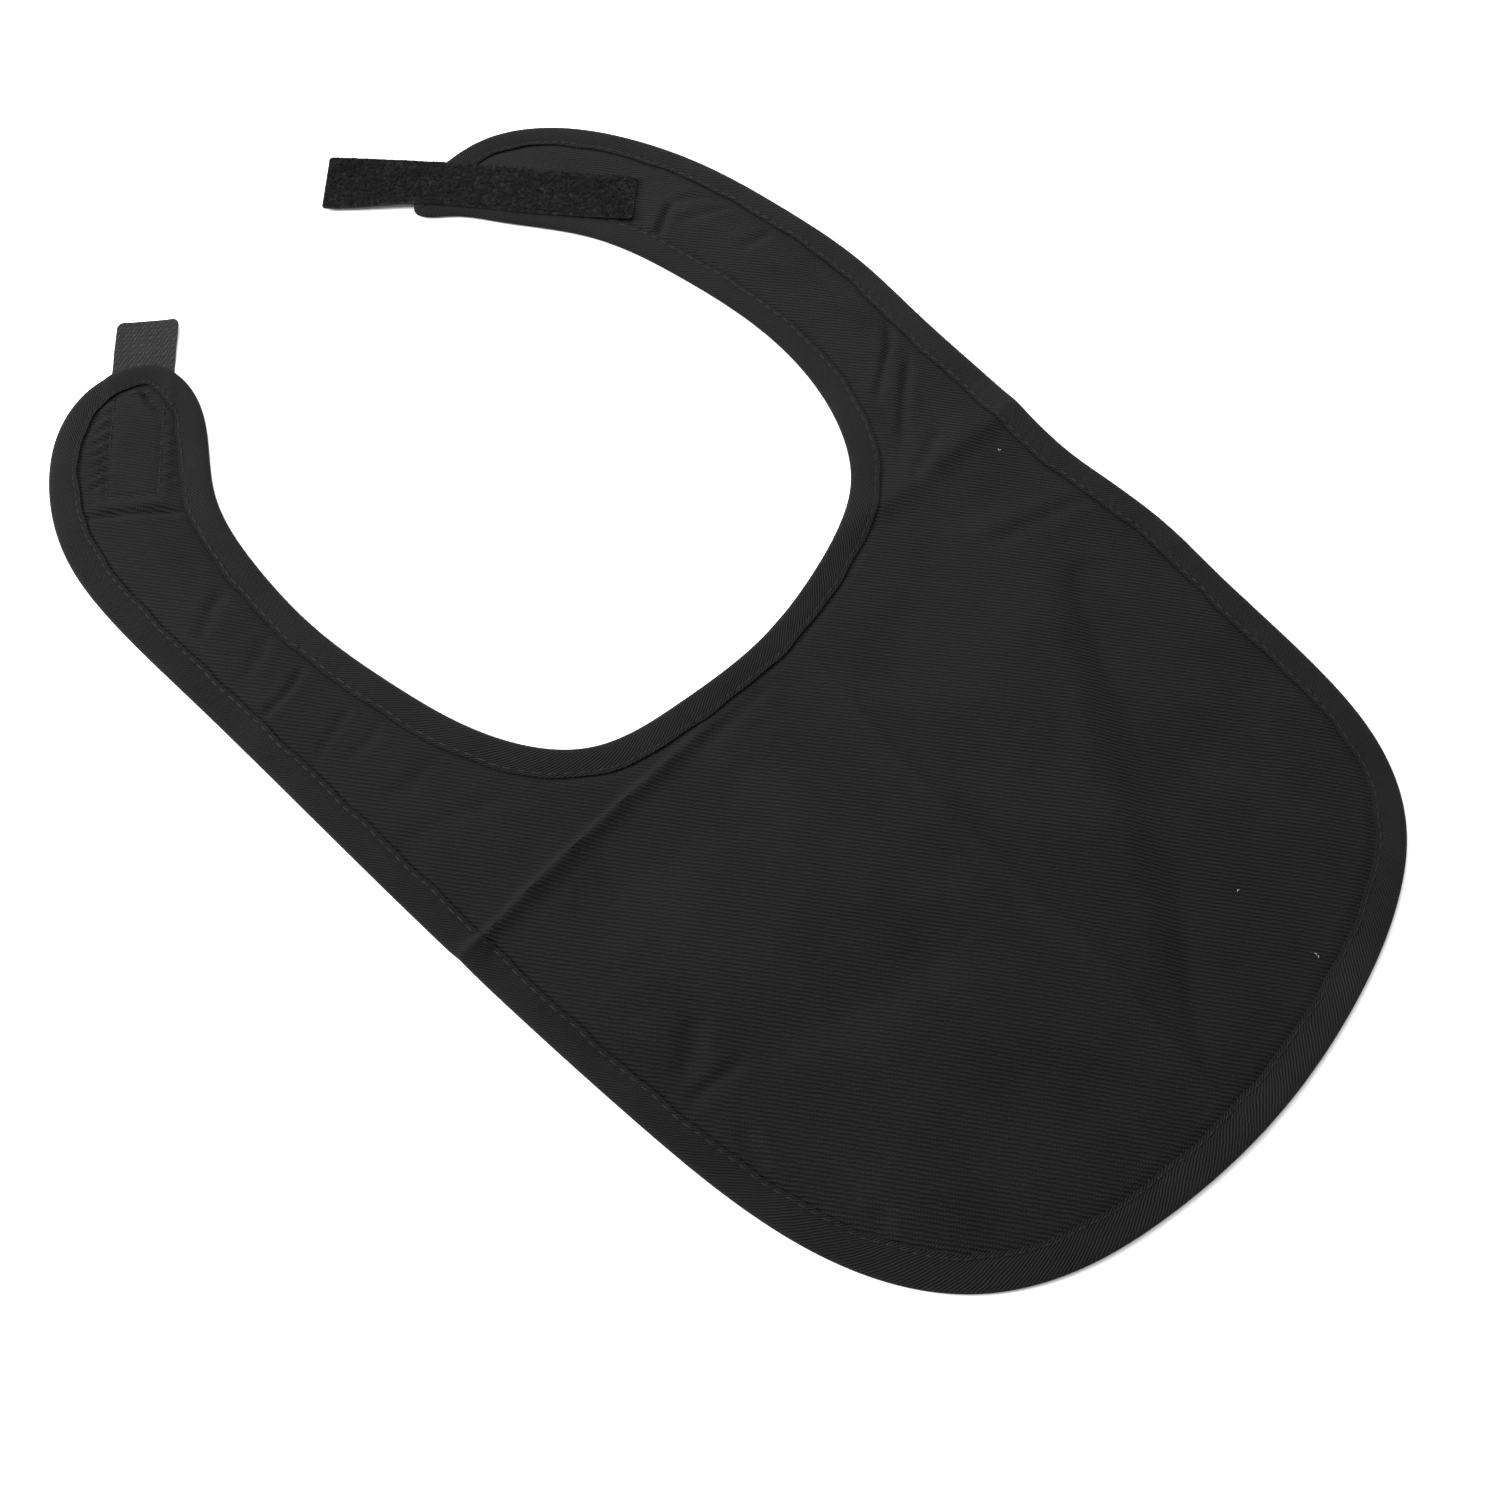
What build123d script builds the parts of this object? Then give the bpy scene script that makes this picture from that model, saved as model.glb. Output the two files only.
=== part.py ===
from build123d import *
from functools import cache
import os

# Lead apron of the small bib kind: a lead-lined panel with two neck arms, bound all round,
# closed behind the neck by a hook tape and a loop tape. It lies flat with its front face up.
# Millimetres. X runs across the bib, Y from the bib's hem (-) to the arms' tips (+), Z up.
# The origin is the middle of the whole outline, on the face that the apron lies on.

# ---- driving dimensions -------------------------------------------------------------------
CLOTH = 0.5            # twill cover, front and back
LEAD = 0.7             # one lead-vinyl sheet; there are two of them
TAPE_FOLD = 0.6        # one layer of the edge binding, a turned tape
BINDING_WIDTH = 9.5    # how far the binding reaches in over the cover
SEAM_MARGIN = 1.2      # from the binding's inner edge to its row of stitches
RAMP = 1.5             # from the binding's inner edge to the raised panel
THREAD = 0.5           # width of a sewn thread
THREAD_RISE = 0.15     # how far a thread stands above the cloth
SLIP = 0.1             # clearance between pieces that lie in one another
FOLD_GAP = 0.5         # space between pieces on the two sides of a joint
EDGE_STEP = 5.0        # length of the straight runs that make up a curved edge

TAPE_WIDTH = 20.0      # hook tape and loop tape
TAPE_CORNER = 1.5      # rounding of a tape's cut corners
BOX_STITCH_MARGIN = 2.0
HOOK_SEWN, HOOK_FREE = 56.0, 18.5
LOOP_SEWN, LOOP_FREE = 75.5, 33.0
HOOK_BASE = 0.6        # hook tape where it is sewn down flat
PILE = 1.2             # tape and its hooks or loops together

# ---- heights of the layers, from the face that the apron lies on ----------------------------
PANEL_TOP = 2 * CLOTH + 2 * LEAD
BINDING_TOP = 2 * TAPE_FOLD + 2 * CLOTH
MID = TAPE_FOLD + CLOTH             # where the edges of the two covers meet
LEAD_SPLIT = CLOTH + LEAD

# ---- outline of the cloth, clockwise from the middle of the hem ------------------------------
OUTLINE = [
    (-5, -222), (-43, -219), (-71, -211.5), (-94, -197), (-109.5, -175), (-118, -149),
    (-123, -112), (-126, -70), (-128, -28), (-129.5, 25), (-131, 75), (-132, 110),
    (-129, 141), (-118.5, 166.5), (-97.5, 188), (-79, 192), (-64, 183), (-62.5, 170),
    (-70, 150.5), (-82, 130), (-89, 100), (-90, 68), (-85.5, 36), (-76.5, 4.5),
    (-58.5, -18.5), (-30, -25.5), (0, -26.5), (33, -19.5), (62, -5), (78.5, 20),
    (86, 58), (83, 95), (73.5, 130), (55, 158.5), (46, 170.5), (40.3, 175.3),
    (38.1, 179), (43, 185), (59.5, 190.7), (78.5, 190.2), (99.5, 177.5), (114, 156.5),
    (124.5, 128), (130, 93), (131.5, 60), (127.5, 24), (123.5, -15), (120, -45),
    (120.5, -78), (116.5, -110), (111, -150), (104.5, -173), (90.5, -193.5), (67, -208),
    (35, -217.5),
]

# ---- where the apron folds: each arm turns up over the bib along its own line ----------------
FAR = 300.0
LEFT_CUT = [(-140, -46.7), (-20, -21.2)]     # outer edge to neck edge
RIGHT_CUT = [(20, -20.6), (140, -20.6)]

# ---- the lead sheets stop short of the tips, where the tapes are sewn through cloth alone ----
LEFT_LEAD_END = [(-140, 167.7), (-60, 110.6)]
RIGHT_LEAD_END = [(60, 99.2), (140, 136.8)]

# ---- fasteners: where the tape's centre line leaves the tip, and the angle that it runs at ---
HOOK_EDGE, HOOK_ANGLE = (-68.1, 188.5), 52.0
LOOP_EDGE, LOOP_ANGLE = (46.8, 186.5), 131.4

os.makedirs("parts", exist_ok=True)


def save(builder, name):
    """Label a finished piece and write it under the same name."""
    builder.part.label = name
    export_step(builder.part, f"parts/{name}.step")


def height_on(line, x):
    """Y of a slanting line at x."""
    (x1, y1), (x2, y2) = line
    return y1 + (y2 - y1) * (x - x1) / (x2 - x1)


def zone_points(zone):
    """Corners of the area that one body of the apron takes up."""
    half = FOLD_GAP / 2
    left_out, left_in = height_on(LEFT_CUT, -FAR), height_on(LEFT_CUT, 0)
    right_in, right_out = height_on(RIGHT_CUT, 0), height_on(RIGHT_CUT, FAR)
    if zone == "left_arm":
        return [(-FAR, left_out + half), (0, left_in + half), (0, FAR), (-FAR, FAR)]
    if zone == "right_arm":
        return [(0, right_in + half), (FAR, right_out + half), (FAR, FAR), (0, FAR)]
    return [(-FAR, left_out - half), (0, left_in - half), (0, right_in - half),
            (FAR, right_out - half), (FAR, -FAR), (-FAR, -FAR)]


@cache
def edge_points():
    """Points along the outline, a step apart, each with its direction into the cloth."""
    with BuildLine():
        curve = Spline(*OUTLINE, periodic=True)
    count = round(curve.length / EDGE_STEP)
    places = [i / count for i in range(count)]
    return [(curve @ t, Vector((curve % t).Y, -(curve % t).X)) for t in places]


@cache
def drawn_in(inset):
    """The outline drawn in by inset, without the loops that tight corners would make."""
    edge = [point for point, _ in edge_points()]
    moved = [point + inward * inset for point, inward in edge_points()]
    return [(p.X, p.Y) for p in moved if min((p - q).length for q in edge) > inset - SLIP / 2]


@cache
def cloth_area(zone, inset=0.0):
    """The outline drawn in by inset, as far as it lies in one zone."""
    with BuildSketch() as area:
        with BuildLine():
            Polyline(*drawn_in(inset), close=True)
        make_face()
        with BuildLine():
            Polyline(*zone_points(zone), close=True)
        make_face(mode=Mode.INTERSECT)
    return area.sketch


def lead_area(zone):
    """Where the lead sheets lie: the panel, without the tip of an arm."""
    with BuildSketch() as area:
        add(cloth_area(zone, BINDING_WIDTH + RAMP + CLOTH + SLIP))
        if zone != "bib":
            end = LEFT_LEAD_END if zone == "left_arm" else RIGHT_LEAD_END
            (x1, y1), (x2, y2) = end
            with BuildLine():
                Polyline((x1, y1), (x2, y2), (x2, -FAR), (x1, -FAR), close=True)
            make_face(mode=Mode.INTERSECT)
    return area.sketch


def slab(face, low, high, mode=Mode.ADD):
    """Extrude a face of the XY plane between two heights."""
    with BuildSketch(Plane.XY.offset(low)) as base:
        add(face)
    extrude(base.sketch, amount=high - low, mode=mode)


def tape_plane(edge, angle, height=0.0):
    """Plane on a tape, its X axis along the tape and out past the tip."""
    return Plane(origin=(*edge, height), z_dir=(0, 0, 1)).rotated((0, 0, angle))


def tape_face(edge, angle, start, end, grow=0.0):
    """A stretch of tape between two distances from the tip."""
    with BuildSketch(tape_plane(edge, angle)) as strip:
        with Locations(((start + end) / 2, 0)):
            RectangleRounded(end - start + 2 * grow, TAPE_WIDTH + 2 * grow, TAPE_CORNER + grow)
    return strip.sketch


def box_stitch(edge, angle, start, end, height):
    """A row of stitches round a tape, a little inside its edges, as one thin band."""
    length = end - start - 2 * BOX_STITCH_MARGIN
    width = TAPE_WIDTH - 2 * BOX_STITCH_MARGIN
    with BuildSketch(tape_plane(edge, angle, height)) as band:
        with Locations(((start + end) / 2, 0)):
            Rectangle(length, width)
            Rectangle(length - 2 * THREAD, width - 2 * THREAD, mode=Mode.SUBTRACT)
    extrude(band.sketch, amount=THREAD_RISE)


hook_bed = tape_face(HOOK_EDGE, HOOK_ANGLE, -HOOK_SEWN, HOOK_FREE, SLIP)

# ---- covers, lead sheets, binding and binding stitches of each body --------------------------
for zone in ("bib", "left_arm", "right_arm"):
    edge = cloth_area(zone, TAPE_FOLD + SLIP)
    panel = cloth_area(zone, BINDING_WIDTH + RAMP)
    pocket = cloth_area(zone, BINDING_WIDTH + RAMP + CLOTH)

    with BuildPart() as front_cover:
        slab(edge, MID, MID + CLOTH)
        slab(panel, MID, PANEL_TOP)
        slab(pocket, MID, PANEL_TOP - CLOTH, mode=Mode.SUBTRACT)
    save(front_cover, f"{zone}_front_cover")

    with BuildPart() as back_cover:
        slab(edge, TAPE_FOLD, MID)
        slab(panel, 0, MID)
        slab(pocket, CLOTH, MID, mode=Mode.SUBTRACT)
        if zone == "left_arm":
            # the cover rises over the hook tape, which is sewn to its back
            with BuildSketch() as roof:
                add(panel)
                add(tape_face(HOOK_EDGE, HOOK_ANGLE, -HOOK_SEWN, 0, CLOTH + SLIP),
                    mode=Mode.INTERSECT)
            slab(roof.sketch, 0, MID)
            slab(hook_bed, 0, HOOK_BASE, mode=Mode.SUBTRACT)
    save(back_cover, f"{zone}_back_cover")

    with BuildPart() as back_lead:
        slab(lead_area(zone), CLOTH, LEAD_SPLIT)
    save(back_lead, f"{zone}_back_lead_sheet")

    with BuildPart() as front_lead:
        slab(lead_area(zone), LEAD_SPLIT, LEAD_SPLIT + LEAD)
    save(front_lead, f"{zone}_front_lead_sheet")

    # one tape, folded over the cut edges of both covers
    with BuildPart() as binding:
        slab(cloth_area(zone), 0, BINDING_TOP)
        slab(cloth_area(zone, BINDING_WIDTH), 0, BINDING_TOP, mode=Mode.SUBTRACT)
        slab(cloth_area(zone, TAPE_FOLD), TAPE_FOLD, BINDING_TOP - TAPE_FOLD, mode=Mode.SUBTRACT)
        if zone == "left_arm":
            slab(hook_bed, 0, TAPE_FOLD, mode=Mode.SUBTRACT)
    save(binding, f"{zone}_edge_binding")

    row = BINDING_WIDTH - SEAM_MARGIN
    with BuildPart() as binding_thread:
        slab(cloth_area(zone, row), BINDING_TOP, BINDING_TOP + THREAD_RISE)
        inside = cloth_area(zone, row + THREAD)
        slab(inside, BINDING_TOP, BINDING_TOP + THREAD_RISE, mode=Mode.SUBTRACT)
    save(binding_thread, f"{zone}_binding_thread")

# ---- hook tape, under the left arm, hooks down; its free end is the tab that is pressed home --
with BuildPart() as hook_tape:
    slab(tape_face(HOOK_EDGE, HOOK_ANGLE, -HOOK_SEWN, 0), 0, HOOK_BASE)
save(hook_tape, "hook_tape")

with BuildPart() as hook_tape_thread:
    box_stitch(HOOK_EDGE, HOOK_ANGLE, -HOOK_SEWN, -BINDING_WIDTH - 2 * RAMP, PANEL_TOP)
save(hook_tape_thread, "hook_tape_thread")

with BuildPart() as hook_tab:
    slab(tape_face(HOOK_EDGE, HOOK_ANGLE, FOLD_GAP, HOOK_FREE), 0, PILE)
save(hook_tab, "hook_tab")

# ---- loop tape, on the front of the right arm, loops up ---------------------------------------
with BuildPart() as loop_tape:
    slab(tape_face(LOOP_EDGE, LOOP_ANGLE, -LOOP_SEWN, 0), PANEL_TOP, PANEL_TOP + PILE)
save(loop_tape, "loop_tape")

with BuildPart() as loop_tape_thread:
    box_stitch(LOOP_EDGE, LOOP_ANGLE, -LOOP_SEWN, 0, PANEL_TOP + PILE)
save(loop_tape_thread, "loop_tape_thread")

with BuildPart() as loop_tab:
    slab(tape_face(LOOP_EDGE, LOOP_ANGLE, FOLD_GAP, LOOP_FREE), PANEL_TOP, PANEL_TOP + PILE)
save(loop_tab, "loop_tab")
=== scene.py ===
"""The looks of a dental lead apron bib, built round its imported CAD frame.

The apron lies flat on a pale floor, with its neck opening towards +Y. The camera and the
studio come first, then the outline and the relief of the cloth, then one section for each
kind of piece: covers, lead sheets, edge binding, seams, hook tape, loop tape and lint.
Lengths are in millimetres up to add_mesh, which makes metres of them.
"""

import math
from collections import namedtuple

import bmesh
import bpy
import numpy as np
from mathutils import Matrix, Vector, geometry, kdtree


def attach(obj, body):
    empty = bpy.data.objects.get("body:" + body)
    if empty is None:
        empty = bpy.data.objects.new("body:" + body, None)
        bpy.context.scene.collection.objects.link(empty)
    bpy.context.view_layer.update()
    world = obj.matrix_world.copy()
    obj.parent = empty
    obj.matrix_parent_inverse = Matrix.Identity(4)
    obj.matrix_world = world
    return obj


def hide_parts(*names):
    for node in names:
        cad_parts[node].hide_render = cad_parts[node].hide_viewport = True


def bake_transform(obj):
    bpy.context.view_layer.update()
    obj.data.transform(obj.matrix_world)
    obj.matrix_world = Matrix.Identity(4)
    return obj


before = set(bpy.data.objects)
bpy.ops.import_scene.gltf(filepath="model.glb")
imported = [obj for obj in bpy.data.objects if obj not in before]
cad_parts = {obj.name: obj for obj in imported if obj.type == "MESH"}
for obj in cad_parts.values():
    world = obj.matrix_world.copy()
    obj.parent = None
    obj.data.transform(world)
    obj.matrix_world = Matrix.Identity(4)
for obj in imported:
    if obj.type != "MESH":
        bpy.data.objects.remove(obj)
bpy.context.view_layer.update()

MM = 0.001

# ---------------------------------------------------------------- camera and studio

CAMERA_AT = (-0.19593, -0.22450, 0.44158)
CAMERA_AIM = (-0.02611, -0.05049, 0.0)
LENS = 42.27
SENSOR = 36.0
WORLD_STRENGTH = 0.55
# Name, place, point aimed at, width in metres and power in watts.
SOFTBOXES = [
    ("key_softbox", (-2.20, 2.20, 1.75), (0.0, -0.02, 0.0), 1.6, 262.0),
    ("top_softbox", (-0.25, 0.15, 1.30), (0.0, -0.05, 0.0), 1.2, 9.0),
    ("rim_softbox", (0.62, 0.72, 0.95), (0.03, 0.03, 0.0), 0.8, 17.0),
]


def aim(obj, target):
    """Turns a camera or a lamp towards a point, with its top upwards."""
    direction = Vector(target) - obj.location
    obj.rotation_euler = direction.to_track_quat("-Z", "Y").to_euler()


def add_camera():
    data = bpy.data.cameras.new("camera")
    data.lens = LENS
    data.sensor_width = SENSOR
    data.clip_start = 0.01
    camera = bpy.data.objects.new("camera", data)
    camera.location = CAMERA_AT
    bpy.context.scene.collection.objects.link(camera)
    aim(camera, CAMERA_AIM)
    bpy.context.scene.camera = camera


def add_softbox(name, at, target, width, power):
    data = bpy.data.lights.new(name, "AREA")
    data.shape = "SQUARE"
    data.size = width
    data.energy = power
    lamp = bpy.data.objects.new(name, data)
    lamp.location = at
    bpy.context.scene.collection.objects.link(lamp)
    aim(lamp, target)


def add_world(strength):
    world = bpy.data.worlds.new("studio")
    world.use_nodes = True
    background = world.node_tree.nodes["Background"]
    background.inputs["Color"].default_value = (1.0, 1.0, 1.0, 1.0)
    background.inputs["Strength"].default_value = strength
    bpy.context.scene.world = world


add_camera()
add_world(WORLD_STRENGTH)
for _softbox in SOFTBOXES:
    add_softbox(*_softbox)
bpy.context.scene.view_settings.view_transform = "Standard"

# ---------------------------------------------------------------- outline

# The cut outline, clockwise from the middle of the hem.
OUTLINE = [
    (-5, -222), (-43, -219), (-71, -211.5), (-94, -197), (-109.5, -175), (-118, -149),
    (-123, -112), (-126, -70), (-128, -28), (-129.5, 25), (-131, 75), (-132, 110),
    (-129, 141), (-118.5, 166.5), (-97.5, 188), (-79, 192), (-64, 183), (-62.5, 170),
    (-70, 150.5), (-82, 130), (-89, 100), (-90, 68), (-85.5, 36), (-76.5, 4.5),
    (-58.5, -18.5), (-30, -25.5), (0, -26.5), (33, -19.5), (62, -5), (78.5, 20),
    (86, 58), (83, 95), (73.5, 130), (55, 158.5), (46, 170.5), (40.3, 175.3),
    (38.1, 179), (43, 185), (59.5, 190.7), (78.5, 190.2), (99.5, 177.5), (114, 156.5),
    (124.5, 128), (130, 93), (131.5, 60), (127.5, 24), (123.5, -15), (120, -45),
    (120.5, -78), (116.5, -110), (111, -150), (104.5, -173), (90.5, -193.5), (67, -208),
    (35, -217.5),
]
EDGE_STEP = 0.5         # between the sampled points of the outline


def closed_spline(points, step):
    """Points about a step apart on the smooth closed curve through the given ones."""
    knots = np.array(points, float)
    count = len(knots)
    after = np.roll(knots, -1, 0)
    chord = np.linalg.norm(after - knots, axis=1)
    system = np.zeros((count, count))
    for i in range(count):
        system[i, i - 1] = chord[i - 1]
        system[i, i] = 2 * (chord[i - 1] + chord[i])
        system[i, (i + 1) % count] = chord[i]
    slope = (after - knots) / chord[:, None]
    bend = np.linalg.solve(system, 6 * (slope - np.roll(slope, 1, 0)))
    t = np.linspace(0, 1, 40, endpoint=False)[:, None]
    spans = []
    for i in range(count):
        j = (i + 1) % count
        pull = ((1 - t) ** 3 - (1 - t)) * bend[i] + (t ** 3 - t) * bend[j]
        spans.append(knots[i] * (1 - t) + knots[j] * t + pull * chord[i] ** 2 / 6)
    dense = np.vstack(spans + [knots[:1]])
    run = np.concatenate([[0], np.cumsum(np.linalg.norm(np.diff(dense, axis=0), axis=1))])
    places = np.linspace(0, run[-1], round(run[-1] / step), endpoint=False)
    even = [np.interp(places, run, dense[:, axis]) for axis in (0, 1)]
    return np.stack(even, 1), run[-1]


EDGE, EDGE_LENGTH = closed_spline(OUTLINE, EDGE_STEP)
_tangent = np.roll(EDGE, -1, 0) - np.roll(EDGE, 1, 0)
_tangent /= np.linalg.norm(_tangent, axis=1)[:, None]
INWARD = np.stack([_tangent[:, 1], -_tangent[:, 0]], 1)

_tree = kdtree.KDTree(len(EDGE))
for _i, _p in enumerate(EDGE):
    _tree.insert((_p[0], _p[1], 0), _i)
_tree.balance()


def depth(points):
    """How far each point is inside the outline, and the place along it of the nearest edge."""
    nearest = np.array([_tree.find((x, y, 0))[1] for x, y in points])
    inside = np.sign(((points - EDGE[nearest]) * INWARD[nearest]).sum(1))
    distance = np.linalg.norm(points - EDGE[nearest], axis=1)
    return distance * inside, nearest * EDGE_LENGTH / len(EDGE)


def edge_at(place):
    """The outline's point and inward direction at places along it, in millimetres from its start."""
    index = np.asarray(place) / EDGE_LENGTH * len(EDGE)
    low = np.floor(index).astype(int) % len(EDGE)
    high = (low + 1) % len(EDGE)
    part = (index - np.floor(index))[..., None]
    point = EDGE[low] * (1 - part) + EDGE[high] * part
    inward = INWARD[low] * (1 - part) + INWARD[high] * part
    return point, inward / np.linalg.norm(inward, axis=-1, keepdims=True)


# The crease down the middle, where the apron has been folded in half. The left and right
# halves of every large piece meet on it, because a piece bends at one arm only.
CENTRE = [(11, -5), (9, -35), (0, -85), (-4, -127), (-5, -157), (-10, -193), (-13, -240)]


def right_of_centre(points):
    line = np.array(CENTRE[::-1], float)
    return points[:, 0] - np.interp(points[:, 1], line[:, 1], line[:, 0])


SIDES = {"left": -1, "right": 1}
ARM = {"left": "left_arm", "right": "right_arm"}

# ---------------------------------------------------------------- relief of the cloth

def smooth(value, low, high):
    """0 below low, 1 above high, and a soft step between."""
    t = np.clip((value - low) / (high - low), 0, 1)
    return t * t * (3 - 2 * t)


def off_line(points, path):
    """Each point's distance from an open path, its place along it, 0 to 1, and its side, -1 or 1."""
    path = np.array(path, float)
    span = np.diff(path, axis=0)
    length = np.linalg.norm(span, axis=1)
    start = np.concatenate([[0], np.cumsum(length)])
    best = np.full(len(points), 1e9)
    place = np.zeros(len(points))
    side = np.ones(len(points))
    for i in range(len(span)):
        t = np.clip(((points - path[i]) @ span[i]) / length[i] ** 2, 0, 1)
        gap = np.linalg.norm(points - path[i] - t[:, None] * span[i], axis=1)
        nearer = gap < best
        best[nearer] = gap[nearer]
        place[nearer] = (start[i] + t * length[i])[nearer] / start[-1]
        off = points - path[i]
        turned = np.sign(span[i][0] * off[:, 1] - span[i][1] * off[:, 0])
        side[nearer] = turned[nearer]
    return best, place, side


def waves(points, size, seed):
    """Smooth uneven waves, roughly size across, between about -1 and 1."""
    rng = np.random.default_rng(seed)
    total = np.zeros(len(points))
    count = 8
    for _ in range(count):
        angle = rng.uniform(0, math.tau)
        length = size * rng.uniform(1.3, 2.6)
        along = points @ np.array([math.cos(angle), math.sin(angle)])
        total += np.cos(math.tau * (along / length + rng.uniform(0, 1)))
    return total / math.sqrt(count)


def end_fade(place, ends):
    """1 along a path, with a soft fall over the given share of it towards each end."""
    return smooth(np.minimum(place, 1 - place), -0.02, ends)


def ridge(points, path, height, half_width, crest, left_width=None, ends=0.0):
    """A pressed fold standing up along a path: straight flanks and a narrow rounded crest."""
    gap, place, side = off_line(points, path)
    rounded = np.sqrt(gap ** 2 + crest ** 2) - crest
    width = np.where(side > 0, left_width or half_width, half_width)
    return height * np.exp(-rounded / width) * end_fade(place, ends)


def shelf(points, path, drop, width, ends, turn=0.9):
    """Cloth that breaks along a path, falls away on its left-hand side and slowly comes back."""
    gap, place, side = off_line(points, path)
    across = 0.5 * (gap * side + np.sqrt(gap ** 2 + turn ** 2) - turn)
    across = np.maximum(across, 0)
    return -drop * across / width * np.exp(1 - across / width) * end_fade(place, ends)


def slope_off(points, path, drop, width, back, ends=0.08):
    """Cloth that slopes down over a band left of a path and comes up again from width to back."""
    gap, place, side = off_line(points, path)
    fallen = smooth(gap * side, -2, width) * (1 - smooth(gap * side, width, back))
    return -drop * fallen * end_fade(place, ends)


def dent(points, path, drop, half_width, ends=0.25):
    """A soft hollow along a path, fading out towards its ends."""
    gap, place, _ = off_line(points, path)
    return -drop * np.exp(-(gap / half_width) ** 2) * end_fade(place, ends)


def tape_frame(edge, degrees, points):
    """Places along and across a tape that leaves the edge point in the given direction."""
    angle = math.radians(degrees)
    along = np.array([math.cos(angle), math.sin(angle)])
    across = np.array([-along[1], along[0]])
    moved = np.asarray(points, float) - np.array(edge)
    return moved @ along, moved @ across


TAPE_WIDTH = 20.0
HOOK_EDGE, HOOK_ANGLE = (-68.1, 188.5), 52.0
HOOK_SEWN, HOOK_FREE = 56.0, 18.5
LOOP_EDGE, LOOP_ANGLE = (46.8, 186.5), 131.4
LOOP_SEWN, LOOP_FREE = 75.5, 33.0
HOOK_BED = 0.7          # how far the hook tape under it lifts the left arm's tip

LEFT_RIDGE = [(-150, -45), (-117, -42), (-90, -40), (-57, -38), (-24, -37)]
RIGHT_RIDGE = [(52, -16), (66, -19), (88, -19), (116, -20), (145, -20)]
HOLLOW_RIDGE = [(70, -21), (70, -44), (92, -53), (114, -60)]
DIAGONAL = [(85, -66), (73, -78), (52, -105), (29, -138), (4, -178), (-12, -208), (-20, -222)]
DIAGONAL_CORE = [(58, -96), (34, -132), (8, -172), (-10, -204)]
DIAGONAL_TOP = [(124, -94), (107, -88), (86, -72)]

LOFT = 3.1              # how far the middle of the apron stands off the floor
LOFT_DEPTHS = (4, 76)   # between these depths inside the outline the cloth rises to it
WAVE_HEIGHT, WAVE_SIZE = 0.22, 42
PRESSED, PRESSED_WIDTH = 0.85, 24   # how much the cloth is flattened beside the folds, how wide

# The relief: its shape, its path, the shape's own measures, and the depths inside the outline
# between which it comes in, or None where it runs on to the edge.
RELIEF = [
    (ridge, LEFT_RIDGE, (1.7, 5.5, 0.6, 1.9, 0.2), None),
    (shelf, LEFT_RIDGE, (1.2, 3.4, 0.2), (2, 12)),
    (shelf, LEFT_RIDGE[::-1], (1.3, 10.0, 0.2), (2, 12)),
    (ridge, RIGHT_RIDGE, (1.1, 8.0, 2.6, 5.0), None),
    (shelf, RIGHT_RIDGE[::-1], (0.9, 12.0, 0.01), (2, 12)),
    (shelf, CENTRE, (1.3, 16.0, 0.01), (0, 24)),
    (ridge, CENTRE, (0.35, 2.4, 0.5), None),
    (ridge, HOLLOW_RIDGE, (0.7, 8.0, 2.0), None),
    (slope_off, DIAGONAL, (1.8, 14.0, 70.0), (2, 16)),
    (ridge, DIAGONAL_CORE, (1.15, 26.0, 4.0, 8.0, 0.3), (2, 12)),
    (shelf, DIAGONAL_TOP, (1.7, 13.0, 0.2, 4.0), None),
    (dent, [(7, -38), (14, -37), (26, -34)], (0.9, 3.5), None),
    (dent, [(-104, -110), (-60, -127), (-22, -134)], (1.2, 9.0), None),
    (dent, [(82, -33), (100, -34), (108, -40)], (1.0, 7.0), None),
    (dent, [(96, -132), (72, -150), (50, -174)], (0.6, 8.0), None),
    (ridge, [(110, -100), (98, -140), (66, -176), (40, -196)], (0.35, 12.0, 4.0), None),
]


def beside_folds(points):
    """Distance from the nearer arm's fold, counted faster on the arm's side of it."""
    near_left, _, left_side = off_line(points, LEFT_RIDGE)
    near_right, _, right_side = off_line(points, RIGHT_RIDGE)
    near_left = near_left * np.where(left_side > 0, 3.0, 1.0)
    near_right = near_right * np.where(right_side > 0, 1.6, 1.0)
    return np.minimum(near_left, near_right)


def lift(points, inside):
    """How far the apron's underside stands off the floor."""
    pressed = 1 - PRESSED * np.exp(-(beside_folds(points) / PRESSED_WIDTH) ** 2)
    uneven = WAVE_HEIGHT * waves(points, WAVE_SIZE, 3) * smooth(inside, 2, 22)
    rise = (LOFT * smooth(inside, *LOFT_DEPTHS) + uneven) * pressed
    for shape, path, measures, depths in RELIEF:
        part = shape(points, path, *measures)
        rise += part if depths is None else part * smooth(inside, *depths)
    along, across = tape_frame(HOOK_EDGE, HOOK_ANGLE, points)
    over_tape = smooth(along, -HOOK_SEWN - 4, -HOOK_SEWN) * smooth(-abs(across), -12.5, -9.5)
    soft_floor = 0.5 * (rise + np.sqrt(rise ** 2 + 0.05))
    return soft_floor * (1 - over_tape) + np.maximum(soft_floor, HOOK_BED) * over_tape


LIP_HEIGHT, LIP_WIDTH = 0.35, 2.6   # the swelling beside a crease, as shares of its depth and width
GRAIN_HEIGHT, GRAIN_SIZE = 0.05, 12
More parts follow.
